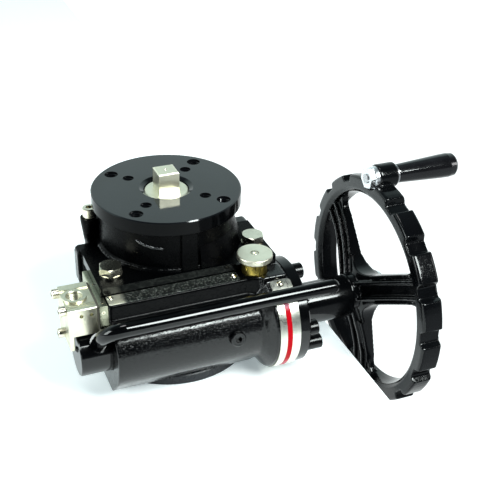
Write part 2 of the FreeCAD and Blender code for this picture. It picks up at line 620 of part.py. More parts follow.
# 7. Declutch lever
bend = q("lever_bend")
rho, x0, x1 = q("lever_rho"), -q("lever_x0"), q("lever_x1")
rl = q("lever_dia") / 2
A = around(ang, 5.2, x0)
B = around(ang, rho - bend, x0)
C = around(ang, rho, x0 + bend)
D = around(ang, rho, x1 - rl)
mid = around(ang, rho - bend + bend * math.sin(math.pi / 4), x0 + bend - bend * math.cos(math.pi / 4))
spine = Part.Wire([Part.makeLine(A, B), Part.Arc(B, mid, C).toShape(), Part.makeLine(C, D)])
rod = Part.Wire([Part.makeCircle(rl, A, d_lever)])
lever = spine.makePipeShell([rod], True, False)
lever = lever.fuse(Part.makeSphere(rl, D))
lever = lever.removeSplitter()
node("declutch_lever", solid(lever))
col = Part.makeCylinder(7.8, 4.6, around(ang, 17.0, x0), d_lever).cut(Part.makeCylinder(rl, 12.0, around(ang, 14.0, x0), d_lever))
col = col.cut(Part.makeCylinder(q("tail_dia") / 2, 40, Vector(-110, YA, ZA), Vector(1, 0, 0)))
node("lever_collar", solid(col))
# tube round the worm shaft, spigoted in the sleeve's nose
shroud = Part.makeCylinder(18.0, 139.2 - 88.5, Vector(88.5, YA, ZA), Vector(1, 0, 0))
shroud = shroud.makeChamfer(0.6, [e for e in shroud.Edges if near(e.BoundBox.XMin, 139.2) and near(e.BoundBox.XMax, 139.2)])
shroud = shroud.fuse(Part.makeCylinder(13.95, 2.0, Vector(87.2, YW, ZA), Vector(1, 0, 0)))
shroud = shroud.cut(Part.makeCylinder(12.0, 60.0, Vector(85.0, YW, ZA), Vector(1, 0, 0)))
node("sleeve_shroud", solid(shroud))

# 8. End cover
b = body("end_cover_blank", ("ring_right", "-axis_yy", "axis_zz"), ROT["x"])
s = sketch(b)
circle(s, "ring_dia / 2")
p1 = pad(b, s, "cover_thk")
s = sketch(b)
circle(s, "nose_dia / 2 + 0.05")
p2 = pocket(b, s, 30.0, True)
dress(b, "Chamfer", 1.2, p2, lambda e: e.BoundBox.ZMin > 80 or (near(e.BoundBox.XLength, 89, 0.3) and e.BoundBox.ZMin > 5) or (e.Length > 200 and e.BoundBox.Center.x > 80))
doc.recompute()
cov = cut(b, *[cyl(4.1, 20.0, around(a, 36.5, 74.0), "x") for a in cover_deg + (stop_deg,)])
node("end_cover", cov)
node("end_cover_screws", group(*[cap_screw(around(a, 36.5, 86.1), "x", 6.5, 8.0, 4.0, 20.0) for a in cover_deg]))
node("cover_stop_screw", cap_screw(around(stop_deg, 36.5, 86.1), "x", 6.3, 13.5, 4.0, 20.0))

# 9. Indicator band with its stripe and screws
rr = q("ring_dia") / 2
bt = q("band_thk")
band = sector(rr, rr + bt, 22.0, 172.0, q("ring_left"), q("ring_right"))
rc = 3.2
for a, sense in ((22.0, 1), (172.0, -1)):
    for xe, sx in ((q("ring_left"), 1), (q("ring_right"), -1)):
        corner = Part.makeBox(rc + 1, rc + 1, 10, Vector(xe - 1 if sx > 0 else xe - rc, YA - rc if sense > 0 else YA - 1, ZA + rr - 5))
        corner = corner.cut(Part.makeCylinder(rc, 12, Vector(xe + sx * rc, YA - sense * rc, ZA + rr - 6)))
        corner.rotate(Vector(0, YA, ZA), Vector(1, 0, 0), a)
        band = band.cut(corner)
for a, x in band_pts:
    band = band.cut(Part.makeCylinder(1.55, 8.0, around(a, rr - 4, x), around(a, 1.0) - around(a, 0.0)))
node("indicator_band", solid(band))
node("indicator_stripe", solid(sector(rr + bt, rr + bt + 0.12, 48.0, 150.0, 64.8, 69.0)))
o = group(*[button_screw(around(a, rr + bt, x), Rotation(Vector(1, 0, 0), a), 2.9, 1.4, 1.5, 6.0) for a, x in band_pts])
node("band_screws", o)

# 10. Top bracket: base plate, neck and actuator flange (F07 / F10)
gk = q("gasket_thk")
plate = fuse(box("2 * plate_halfx", "plate_front + 2", "plate_top - case_top - gasket_thk", ("-plate_halfx", "-plate_front", "case_top + gasket_thk")),
             cyl(57.0, "plate_top - case_top - gasket_thk", (0, 0, "case_top + gasket_thk")))
plate = fillet(plate, 2.0, lambda e: near(e.BoundBox.ZLength, 7.4, 0.05) and near(abs(e.BoundBox.XMin), 73.5, 0.05) and e.BoundBox.YMax < -50)
neck = fuse(cyl("neck_dia / 2", "height_ff - flange_thk - plate_top + 2", (0, 0, "plate_top - 1")),
            cone(58.5, 56.0, 4.0, (0, 0, "plate_top - 0.5")))
rib = box(14.0, 20.0, 34.0, (-7.0, -59.0, 102.0))
rib = fillet(rib, 1.5, lambda e: near(e.BoundBox.ZLength, 34, 0.01) and e.BoundBox.YMax < -50)
lugs = []
for sx in (-1, 1):
    web = box(10.0, 11.0, 25.4, (50.5 if sx > 0 else -60.5, 14.5, "case_top + gasket_thk"))
    lugs += [cone(5.2, 7.6, 20.0, (sx * q("ear_x"), q("ear_y"), 98.0)), cyl(7.6, "ear_top - 118", (sx * q("ear_x"), q("ear_y"), 118.0)),
             cyl(5.2, 4.0, (sx * q("ear_x"), q("ear_y"), "case_top + gasket_thk")), web]
flare = doc.addObject("Part::Common", uid("Common"))
flare.Base, flare.Tool = cone(62.0, 56.0, 19.0, (0, 0, 101.5)), box(64.0, 60.0, 20.0, (9.0, -59.0, 101.5))
bracket = fuse(plate, neck, rib, *lugs, flare, cyl("flange_dia / 2", "flange_thk", (0, 0, "height_ff - flange_thk")))
# trim the foot of the neck at the rear and over the plate's front edge
bracket = cut(bracket,
              cyl("neck_bore / 2", "height_ff - flange_thk - case_top", (0, 0, "case_top")),
              cyl("top_bore / 2", 20, (0, 0, 130)), cone(18.5, 22.0, 2.1, (0, 0, "height_ff - 2")),
              *[cyl("hole_outer / 2", 20, (51 * math.cos(math.radians(a)), 51 * math.sin(math.radians(a)), "height_ff - flange_thk")) for a in (45, 135, 225, 315)],
              *[cyl("hole_inner / 2", 20, (35 * math.cos(math.radians(a)), 35 * math.sin(math.radians(a)), 130)) for a in (45, 135, 225, 315)],
              *[cyl(5.5, 12, (x, y, 93)) for x, y in bolt_pts],
              *[cyl(4.0, 6.0, (30 * sx, 46.0, 94.0)) for sx in (-1, 1)],
              *[cyl(9.5, 30, (x, y, 102.0)) for x, y in bolt_pts],
              cyl(11.0, 12.0, ("lock_x", "-lock_y", 93.0)), cyl(14.9, 30.0, ("lock_x", "-lock_y", 100.1)),
              *[cyl(4.1, 40, (sx * q("ear_x"), q("ear_y"), 90.0)) for sx in (-1, 1)])
bracket = chamfer(bracket, 0.8, lambda e: near(e.BoundBox.XLength, 122, 0.05) and near(e.BoundBox.YLength, 122, 0.05) and near(e.BoundBox.ZLength, 0))
node("top_bracket", bracket)

gsk = cut(fuse(box(145.0, 61.0, "gasket_thk", (-72.5, -59.0, "case_top")), cyl(56.5, "gasket_thk", (0, 0, "case_top"))),
          cyl(48.0, 3, (0, 0, 93)), *[cyl(5.6, 3, (x, y, 93)) for x, y in bolt_pts], *[cyl(4.1, 3, (30 * sx, 46, 93)) for sx in (-1, 1)],
          *[cyl(4.2, 3, (sx * q("ear_x"), q("ear_y"), 93)) for sx in (-1, 1)],
          cyl(11.2, 3.0, ("lock_x", "-lock_y", 93.0)))
com = doc.addObject("Part::Common", uid("Common"))
com.Base, com.Tool = gsk, fuse(box(142.0, 63.0, 3.0, (-71.0, -60.1, 93.0)), cyl(56.4, 3.0, (0, 0, 93.0)))
node("bracket_gasket", com)

node("plate_bolts", group(*[hex_bolt((x, y, 104.0), "z", 17.0, 6.4, 5.0, 31.0) for x, y in bolt_pts]))
node("plate_washers", group(*[washer(9.2, 5.4, 2.0, (x, y, 102.0)) for x, y in bolt_pts]))
node("dowel_pins", group(*[cyl(4.0, 13.0, (30 * sx, 46.0, 86.5)) for sx in (-1, 1)]))
node("rear_post_screws", group(*[cap_screw((sx * q("ear_x"), q("ear_y"), 121.0), "z", 5.6, 9.0, 4.0, 42.0) for sx in (-1, 1)]))

# 11. Blank nameplate
b = body("nameplate_blank", (0, 0, "case_top"))
s = sketch(b)
profile(s, [(-70.0, -73.0), (37.0, -73.0), (37.0, -61.0), (-70.0, -61.0)])
p = pad(b, s, 0.8)
doc.recompute()
dress(b, "Fillet", 1.5, p, lambda e: near(e.BoundBox.ZLength, 0.8))
doc.recompute()
np_ = cut(b, *[cyl(1.6, 3, (x, y, 93)) for x, y in tag_pts])
node("nameplate", np_)
node("nameplate_screws", group(*[button_screw((x, y, 94.8), Rotation(), 2.6, 1.3, 1.5, 6.0) for x, y in tag_pts]))

# 12. Cut-off valve block on the left end
b = body("adapter_blank", (0, 0, 0))
s = sketch(b, "XY_Plane", 76.0)
profile(s, [("-strip_left", -72.0), ("-box_halfx", -72.0), ("-box_halfx", -18.0), ("-strip_left", -18.0)])
p = pad(b, s, 18.0)
doc.recompute()
dress(b, "Chamfer", 0.6, p, lambda e: near(e.BoundBox.YLength, 54) and e.BoundBox.ZMin > 93)
doc.recompute()
ad = cut(b, *[cyl(1.6, 4, (-74.4, y, 91.0)) for y in (-40.0, -67.0)], cyl(1.6, 4.0, (-74.6, -73.0, 88.0), "y"),
         *[cyl(2.2, 12, (-80.0, y, z), "x") for y, z in ((-38.0, 91.0), (-62.0, 90.0))],
         *[cyl(2.1, 12, (-80.0, y, 85.0), "x") for y in (-24.0, -66.0)])
node("adapter_plate", ad)
node("adapter_screws", group(*[cut(cyl(1.6, 3.0, (-74.4, y, 91.0)), prism(6, 0.8, 2, (-74.4, y, 93.0))) for y in (-40.0, -67.0)],
                             cut(cyl(1.6, 3.0, (-74.6, -72.0, 88.0), "y"), prism(6, 0.8, 2.0, (-74.6, -73.0, 88.0), "y")),
                             *[cyl(2.0, 13.3, (-77.4, y, 85.0), "x") for y in (-24.0, -66.0)]))
vg = cut(box(1.5, 36.0, 24.0, ("-strip_left - 1.5", -71.0, 70.0)), *[cyl(2.2, 4, (-80.5, y, z), "x") for y, z in ((-38.0, 91.0), (-62.0, 90.0))])
node("valve_gasket", vg)

b = body("valve_blank", (0, "-block_front", 0), ROT["-y"])
# drawn looking along +Y: local X is +X, local Y is +Z, the pad grows towards +Y
s = sketch(b)
profile(s, [("-block_left", "leg_low"), (-97.8, "leg_low"), (-97.8, "block_low"), ("-block_right", "block_low"), ("-block_right", "case_top"), ("-block_left", "case_top")])
p = pad(b, s, "block_front - block_back", True)
doc.recompute()
vb = cut(fuse(b, cyl(9.4, 2.0, (-92.0, -52.0, 93.5)), box(22.5, 7.0, 2.2, (-101.5, -42.0, 93.0))),
         # milled shoulders, fine grooves
         box(30, 0.8, 0.8, (-105, -66.6, 93.3)), box(30, 0.8, 0.8, (-105, -64.0, 93.3)),
         # port, plunger bore, cross drilling, front holes
         cyl(5.9, 12.0, (-92.0, -52.0, 84.0)), cone(5.9, 6.8, 0.9, (-92.0, -52.0, 94.8)),
         cyl(2.55, 8.0, ("-plunger_x", "-axis_yy", 69.0)), cyl(3.6, 11.7, ("-plunger_x", "-axis_yy", 76.0)),
         *[cyl(1.5, 5.0, (x, -72.0, 88.0), "y") for x in (-91.3, -83.6)],
         *[cyl(2.1, 25.0, (-103.0, y, z), "x") for y, z in ((-38.0, 91.0), (-62.0, 90.0))],
         cyl(2.1, 6.0, (-103.0, -52.0, 63.5), "x"))
vb = chamfer(vb, 0.5, lambda e: near(e.BoundBox.YMax, -71, 0.05) and e.Length > 8 and len(e.Vertexes) == 2)
node("valve_body", vb)
node("valve_screws", group(*[
    (lambda c: c)(cap_screw((-101.5, y, z), "-x", 4.0, 5.4, 2.0, n)) for y, z, n in ((-38.0, 91.0, 24.0), (-62.0, 90.0, 24.0), (-52.0, 63.5, 3.4))]))
vs = NODES[-1]

plunger = fuse(cyl(2.5, 13.5, ("-plunger_x", "-axis_yy", 66.4)), cyl(3.5, 1.6, ("-plunger_x", "-axis_yy", 78.6)))
plunger = fillet(plunger, 1.2, lambda e: near(e.BoundBox.ZMax, 66.4) and near(e.BoundBox.ZMin, 66.4))
node("valve_plunger", plunger)


def spring(radius, wire_r, turns, z0, z1, x, y, name):
    """A coil spring with its closed ends left plain, standing between two heights."""
    h = z1 - z0 - 2 * wire_r
    helix = Part.makeHelix(h / turns, h, radius)
    ring = Part.Wire([Part.makeCircle(wire_r, Vector(radius, 0, 0), Vector(0, 1, 0))])
    coil = Part.Wire(helix).makePipeShell([ring], True, True)
    coil.translate(Vector(x, y, z0 + wire_r))
    return node(name, solid(coil))


spring(2.85, 0.4, 4, 80.4, 87.5, -px, YA, "plunger_spring")

# 13. Lock knob: push pin that drops into the sleeve
lx, ly = q("lock_x"), -q("lock_y")
pin = fuse(cyl("pin_dia / 2", 19.4, ("lock_x", "-lock_y", 74.3)), cyl(10.3, 14.0, ("lock_x", "-lock_y", 92.0)))
pin = chamfer(pin, 0.6, lambda e: near(e.BoundBox.ZMax, 74.3) or (near(e.BoundBox.ZMin, 92.0) and near(e.BoundBox.XLength, 20.6, 0.05)))
pin = cut(pin, cyl(1.6, 8.0, ("lock_x", "-lock_y", 99.0)))
node("lock_plunger", pin)
disc = cyl("knob_dia / 2", 4.9, ("lock_x", "-lock_y", 106.0))
disc = fillet(disc, 0.9, lambda e: e.Length > 50)
disc = cut(disc, cyl(3.4, 4.0, ("lock_x", "-lock_y", 109.2)), cyl(1.6, 8.0, ("lock_x", "-lock_y", 104.0)))
node("lock_knob", disc)
node("knob_screw", cap_screw((lx, ly, 109.2), "z", 3.0, 1.5, 1.5, 9.0, 1.3))
spring(5.6, 0.6, 5, 80.2, 91.8, lx, ly, "lock_spring")

# 14. Handwheel, built about its own axis along local Z and then laid along +X
R0 = q("wheel_dia") / 2
RN, RW = q("rim_near"), q("rim_width")


def polar_pt(psi, r, z=0.0):
    """psi from +Z towards +Y once laid in place; local X becomes -Z."""
    a = math.radians(180.0 - psi)
    return Vector(r * math.cos(a), r * math.sin(a), z)


def ring_profile(pts):
    f = Part.Face(Part.makePolygon([Vector(r, 0, z) for r, z in pts] + [Vector(pts[0][0], 0, pts[0][1])]))
    return f.revolve(Vector(0, 0, 0), Vector(0, 0, 1), 360)


def lobes(r_out, r_in, half_out, half_in, z0, z1):
    edges = []
    prev = None
    first = None
    for k in range(16):
        c = -50.4 + 22.5 * k
        seq = [polar_pt(c - half_in, r_in, z0), polar_pt(c - half_out, r_out, z0), polar_pt(c, r_out, z0), polar_pt(c + half_out, r_out, z0), polar_pt(c + half_in, r_in, z0)]
        if prev is not None:
            g = polar_pt(c - 11.25, r_in, z0)
            edges.append(Part.Arc(prev, g, seq[0]).toShape())
        else:
            first = seq[0]
        edges.append(Part.makeLine(seq[0], seq[1]))
        edges.append(Part.Arc(seq[1], seq[2], seq[3]).toShape())
        edges.append(Part.makeLine(seq[3], seq[4]))
        prev = seq[4]
    edges.append(Part.Arc(prev, polar_pt(-50.4 - 11.25, r_in, z0), first).toShape())
    return Part.Face(Part.Wire(edges)).extrude(Vector(0, 0, z1 - z0))


ri = q("rim_inner")
z0, z1 = RN, RN + RW
envelope = ring_profile([(ri - 3, z0 + 2.5), (ri + 0.5, z0), (R0 - 2.2, z0), (R0 - 0.6, z0 + 0.6), (R0, z0 + 2.2), (R0, z1 - 1.8), (R0 - 0.5, z1 - 0.5), (R0 - 1.8, z1), (ri - 4.0, z1), (ri - 5.6, z1 - 1.6), (ri - 5.2, z0 + 12.0)])
outline = lobes(R0 + 1.0, R0 - 5.6, 6.6, 8.4, z0 - 1, z1 + 1)
rimshape = envelope.common(outline)
# a shallow channel in the near face between the flat annulus and the lobes' roots
web = ring_profile([(8.5, z0 - 10.0), (17.0, z0 - 9.0), (30.0, z0 - 3.5), (48.0, z0 + 2.2), (70.0, z0 + 6.0), (ri + 2, z0 + 6.8),
                    (ri + 2, z0 + 13.0), (70.0, z0 + 12.6), (48.0, z0 + 9.0), (30.0, z0 + 6.0), (17.0, z0 + 7.4), (14.4, z0 + 13.2), (8.5, z0 + 13.2)])
ribs_env = ring_profile([(13.5, z0 - 15.0), (26.0, z0 - 10.6), (45.0, z0 - 4.4), (66.0, z0 + 0.8), (ri + 2, z0 + 3.4), (ri + 2, z0 + 9.0), (48.0, z0 + 6.0), (30.0, z0 + 2.0), (13.5, z0 - 6.0)])
hw = 12.5
windows = []
spokes = (-60.5, 59.5, 179.5)
for k in range(3):
    a0, a1 = spokes[k], spokes[k] + 120.0
    # the window between the spokes at a0 and a1: sides lie hw off each spoke's centre line
    def side_point(spoke, sign, r):
        along = math.sqrt(r * r - hw * hw)
        sp = math.radians(180.0 - spoke)
        # sign +1: the side facing larger psi
        ux, uy = math.cos(sp), math.sin(sp)
        nx, ny = math.sin(sp), -math.cos(sp)
        return Vector(along * ux + sign * hw * nx, along * uy + sign * hw * ny, z0 - 30)
    rin = hw / math.sin(math.radians(60.0))
    ctr = polar_pt(a0 + 60.0, rin, z0 - 30)
    pa, pb = side_point(a0, 1, ri - 0.5), side_point(a1, -1, ri - 0.5)
    arc = Part.Arc(pa, polar_pt(a0 + 60.0, ri - 0.5, z0 - 30), pb).toShape()
    f = Part.Face(Part.Wire([Part.makeLine(ctr, pa), arc, Part.makeLine(pb, ctr)]))
    w = f.extrude(Vector(0, 0, 70))
    e_in = [e for e in w.Edges if near(e.Length, 70, 0.01) and math.hypot(e.CenterOfMass.x - ctr.x, e.CenterOfMass.y - ctr.y) < 1]
    e_out = [e for e in w.Edges if near(e.Length, 70, 0.01) and math.hypot(e.CenterOfMass.x - ctr.x, e.CenterOfMass.y - ctr.y) > 20]
    w = w.makeFillet(34.0, e_in)
    e_out = [e for e in w.Edges if near(e.Length, 70, 0.01) and math.hypot(e.CenterOfMass.x, e.CenterOfMass.y) > 80]
    w = w.makeFillet(14.0, e_out)
    windows.append(w)
web = web.cut(windows[0]).cut(windows[1]).cut(windows[2])
rib_bars = []
for sp in spokes:
    for off in (-6.6, 6.6):
        bar = Part.makeBox(ri - 12.0, 3.0, 40.0, Vector(14.0, off - 1.5, z0 - 25))
        bar.rotate(Vector(0, 0, 0), Vector(0, 0, 1), 180.0 - sp)
        rib_bars.append(bar.common(ribs_env))
    for off in (-11.2, 11.2):
        bar = Part.makeBox(ri - 42.0, 2.6, 40.0, Vector(28.0, off - 1.3, z0 - 25))
        bar.rotate(Vector(0, 0, 0), Vector(0, 0, 1), 180.0 - sp)
        low_env = ribs_env.copy()
        low_env.translate(Vector(0, 0, 3.0))
        rib_bars.append(bar.common(low_env))
hubs = Part.makeCylinder(q("hub_dia") / 2, z0 - q("hub_near") + 10.0, Vector(0, 0, q("hub_near")))
hub_e = [e for e in hubs.Edges if near(e.BoundBox.ZMax, q("hub_near")) and near(e.BoundBox.ZMin, q("hub_near"))]
hubs = hubs.makeChamfer(1.0, hub_e)
cb = polar_pt(q("crank_angle"), q("crank_rad"), 0)
boss = Part.makeCylinder(10.6, 17.4, Vector(cb.x, cb.y, q("grip_start") - 17.9))
boss_e = [e for e in boss.Edges if e.Length > 60]
boss = boss.makeFillet(1.5, boss_e)
neck_ = Part.makeBox(16.0, 18.0, RW - 1.0, Vector(88.0, -9.0, z0 + 0.5))
neck_.rotate(Vector(0, 0, 0), Vector(0, 0, 1), 180.0 - q("crank_angle"))
hwheel = rimshape.fuse([web, hubs, boss, neck_] + rib_bars)
hwheel = hwheel.cut(Part.makeCylinder(8.02, 80, Vector(0, 0, 110)))
hwheel = hwheel.cut(Part.makeCylinder(4.1, 60, Vector(cb.x, cb.y, 140)))
hwheel = hwheel.cut(Part.makeCylinder(10.2, 24.2, Vector(cb.x, cb.y, 140)))
key_slot = Part.makeBox(3.0, 5.0, 50.0, Vector(-10.5, -2.5, 125.0))
hwheel = hwheel.cut(key_slot)
hwheel = hwheel.removeSplitter()
lay = Placement(Vector(0, YW, ZA), Rotation(Vector(0, 1, 0), 90))


def laid(shape):
    shape.Placement = lay.multiply(shape.Placement)
    return solid(shape)


node("handwheel", laid(hwheel))
node("hub_key", box(24.0, 5.0, 5.0, (141.5, YW - 2.5, ZA + 5.1)))
tube = cut(cyl(11.6, 50.2, (89.3, YW, ZA), "x"), cyl(9.3, 60, (80, YW, ZA), "x"))
bush_in = cut(cyl(9.3, 50.2, (89.3, YW, ZA), "x"), cyl(8.0, 60, (80, YW, ZA), "x"))
tube = fuse(tube, bush_in)
tube = chamfer(tube, 0.6, lambda e: e.Length > 65 and near(e.BoundBox.XLength, 0))
node("hub_spacer", tube)
node("hub_washer", cut(cyl(13.0, 2.6, (172.1, YW, ZA), "x"), cyl(4.3, 8, (170, YW, ZA), "x")))
node("hub_screw", hex_bolt((174.7, YW, ZA), "x", 13.0, 5.3, 3.4, 22.0))

# 15. Crank handle on the rim
ca = math.radians(q("crank_angle"))
cy, cz = YW + q("crank_rad") * math.sin(ca), ZA + q("crank_rad") * math.cos(ca)
gs, ge = q("grip_start"), q("grip_end")
pinb = fuse(cyl(4.0, ge - 12.0 - 155.0, (155.0, cy, cz), "x"), cyl(8.2, 2.0, (gs - 0.5, cy, cz), "x"), cyl(5.4, 3.0, (ge - 14.0, cy, cz), "x"))
node("crank_pin", pinb)
node("crank_nut", cut(fuse(prism(6, 16.0 / math.sqrt(3), 6.2, (156.0, cy, cz), "x", 12), cyl(9.4, 1.6, (161.2, cy, cz), "x")), cyl(4.0, 12, (152, cy, cz), "x")))
node("crank_washer", cut(cyl(9.4, 1.2, (162.9, cy, cz), "x"), cyl(4.1, 4, (161, cy, cz), "x")))
b = body("crank_grip_blank", (gs + 1.9, cy, cz), ROT["x"])
s = sketch(b, "XZ_Plane")
L = ge - gs - 1.9
prof = [(4.1, 0.0), (7.7, 0.0), (7.9, 0.8), (8.05, 4.0), (10.1, L - 15.0), (10.3, L - 8.0), (9.7, L - 2.6), (8.4, L - 1.0), (6.0, L - 0.4), (0.0, L), (0.0, L - 7.5), (6.0, L - 7.5), (6.0, L - 15.0), (4.1, L - 15.0)]
profile(s, prof)
revolve(b, s)
doc.recompute()
node("crank_grip", b)

# =========================================================================
doc.removeObject(sheet_probe.Name)
doc.recompute()
bad = [o.Name + " " + ",".join(o.State) for o in doc.Objects if any(w in ("Invalid", "Error") for w in o.State)]
if bad:
    raise RuntimeError("objects in error: " + "; ".join(bad))
os.makedirs("parts", exist_ok=True)
for o in NODES:
    sh = o.Shape
    if sh.isNull() or not sh.isValid() or not sh.Solids:
        raise RuntimeError("%s is not a valid solid" % o.Label)
    sh.exportStep("parts/%s.step" % o.Label)
    bb = sh.BoundBox
    print("%-24s solids %2d  vol %10.1f  x %7.1f %7.1f  y %7.1f %7.1f  z %7.1f %7.1f" % (
        o.Label, len(sh.Solids), sh.Volume, bb.XMin, bb.XMax, bb.YMin, bb.YMax, bb.ZMin, bb.ZMax))
print(len(NODES), "nodes")
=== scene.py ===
import json
import math
import random

import bmesh
import bpy
from mathutils import Matrix, Vector, noise


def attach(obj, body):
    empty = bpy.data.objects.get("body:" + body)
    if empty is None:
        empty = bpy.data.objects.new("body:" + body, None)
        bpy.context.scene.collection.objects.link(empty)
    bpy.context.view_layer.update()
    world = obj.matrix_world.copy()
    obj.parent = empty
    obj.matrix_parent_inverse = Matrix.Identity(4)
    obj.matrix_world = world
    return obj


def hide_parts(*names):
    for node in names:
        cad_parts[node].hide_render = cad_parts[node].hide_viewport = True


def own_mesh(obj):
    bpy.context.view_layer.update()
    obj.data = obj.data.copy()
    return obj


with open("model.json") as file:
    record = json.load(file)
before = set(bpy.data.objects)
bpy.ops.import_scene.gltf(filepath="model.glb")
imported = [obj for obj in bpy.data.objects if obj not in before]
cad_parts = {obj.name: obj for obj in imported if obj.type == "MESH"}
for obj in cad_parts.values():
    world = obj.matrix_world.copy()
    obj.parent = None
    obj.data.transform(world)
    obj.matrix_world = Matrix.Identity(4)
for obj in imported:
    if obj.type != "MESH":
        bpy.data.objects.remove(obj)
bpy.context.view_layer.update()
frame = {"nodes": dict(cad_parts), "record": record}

random.seed(11)
MM = 0.001
scene = bpy.context.scene
nodes = frame["nodes"]

# ------------------------------------------------------------------ camera
cam_data = bpy.data.cameras.new("camera")
cam_data.sensor_width = 36.0
cam_data.lens = 967.42 / 500.0 * 36.0
cam_data.clip_start = 0.01
cam = bpy.data.objects.new("camera", cam_data)
scene.collection.objects.link(cam)
right, up, fwd = Vector((0.9244, -0.3805, 0.0259)), Vector((0.1753, 0.4841, 0.8573)), Vector((0.3387, 0.7880, -0.5142))
rot = Matrix((right, up, -fwd)).transposed()
cam.matrix_world = Matrix.Translation((-0.2122, -0.6697, 0.5095)) @ rot.to_4x4()
scene.camera = cam

# ------------------------------------------------------------------ stage and light
def mesh_object(name, verts, faces, smooth=False):
    me = bpy.data.meshes.new(name)
    me.from_pydata([tuple(v) for v in verts], [], [tuple(f) for f in faces])
    me.update()
    ob = bpy.data.objects.new(name, me)
    scene.collection.objects.link(ob)
    if smooth:
        for p in me.polygons:
            p.use_smooth = True
    return ob


EDGE = 0.142                                   # the table ends here, and the handwheel hangs past its edge
prof = [(-2.2, 0.0)] + [(EDGE - 0.004 + 0.004 * math.sin(a), -0.004 + 0.004 * math.cos(a)) for a in [math.pi / 2 * i / 8 for i in range(9)]] + [(EDGE, -0.034), (-2.2, -0.034)]
vs, fs = [], []
for y in (-1.6, 2.6):
    vs += [(x, y, z) for x, z in prof]
n = len(prof)
for i in range(n):
    fs.append((i, (i + 1) % n, n + (i + 1) % n, n + i))
fs.append(tuple(range(n)[::-1]))
fs.append(tuple(range(n, 2 * n)))
table = mesh_object("table_top", vs, fs)
bm = bmesh.new(); bm.from_mesh(table.data); bmesh.ops.recalc_face_normals(bm, faces=bm.faces); bm.to_mesh(table.data); bm.free()


def area(name, loc, target, size, size_y, power, color=(1, 1, 1)):
    l = bpy.data.lights.new(name, "AREA")
    l.shape = "RECTANGLE"
    l.size, l.size_y, l.energy, l.color = size, size_y, power, color
    o = bpy.data.objects.new(name, l)
    scene.collection.objects.link(o)
    o.location = loc
    o.rotation_euler = (Vector(target) - Vector(loc)).to_track_quat("-Z", "Y").to_euler()
    return o


C = (0.03, -0.03, 0.06)
area("key_softbox", (0.42, -0.93, 1.05), C, 0.48, 0.60, 27.0, (0.93, 1.0, 0.985))
area("left_softbox", (-1.25, -0.10, 0.62), C, 0.55, 0.75, 12.0, (0.93, 1.0, 0.99))
area("right_strip", (1.15, -0.85, 0.55), C, 0.16, 0.9, 3.0)
area("top_fill", (-0.05, 0.15, 1.9), C, 0.5, 0.5, 6.0)

world = bpy.data.worlds.new("studio")
scene.world = world
world.use_nodes = True
wt = world.node_tree
wt.nodes.clear()


def wn(kind, **kw):
    x = wt.nodes.new("ShaderNode" + kind)
    for k, v in kw.items():
        setattr(x, k, v)
    return x


def wramp(fac, stops):
    x = wn("ValToRGB")
    els = x.color_ramp.elements
    while len(els) < len(stops):
        els.new(0.5)
    for el, (pos, col) in zip(els, stops):
        el.position = pos
        el.color = (*col, 1)
    wt.links.new(fac, x.inputs[0])
    return x.outputs[0]


out = wn("OutputWorld")
bg = wn("Background")
tc = wn("TexCoord")
sep = wn("SeparateXYZ")
wt.links.new(tc.outputs["Generated"], sep.inputs[0])
half = []
for axis in ("Z", "Y"):
    mul = wn("Math", operation="MULTIPLY_ADD")
    mul.inputs[1].default_value = 0.5
    mul.inputs[2].default_value = 0.5
    wt.links.new(sep.outputs[axis], mul.inputs[0])
    half.append(mul.outputs[0])
# the white sweep behind the object, and the dim room in front of it
back = wramp(half[0], [(0.0, (1.26, 1.32, 1.32)), (0.50, (1.18, 1.27, 1.27)), (0.66, (0.96, 1.14, 1.13)), (0.80, (0.72, 0.90, 0.90)), (0.88, (0.13, 0.17, 0.18))])
front = wramp(half[0], [(0.0, (0.55, 0.60, 0.62)), (0.47, (0.46, 0.50, 0.52)), (0.54, (0.040, 0.046, 0.052)), (1.0, (0.024, 0.028, 0.033))])
side = wn("MapRange")
side.inputs[1].default_value, side.inputs[2].default_value = 0.42, 0.62
wt.links.new(half[1], side.inputs[0])
mixw = wn("Mix", data_type="RGBA")
wt.links.new(side.outputs[0], mixw.inputs[0])
wt.links.new(front, mixw.inputs[6])
wt.links.new(back, mixw.inputs[7])
wt.links.new(mixw.outputs[2], bg.inputs["Color"])
bg.inputs["Strength"].default_value = 1.0
wt.links.new(bg.outputs[0], out.inputs[0])
scene.view_settings.view_transform = "Standard"
scene.view_settings.gamma = 0.90


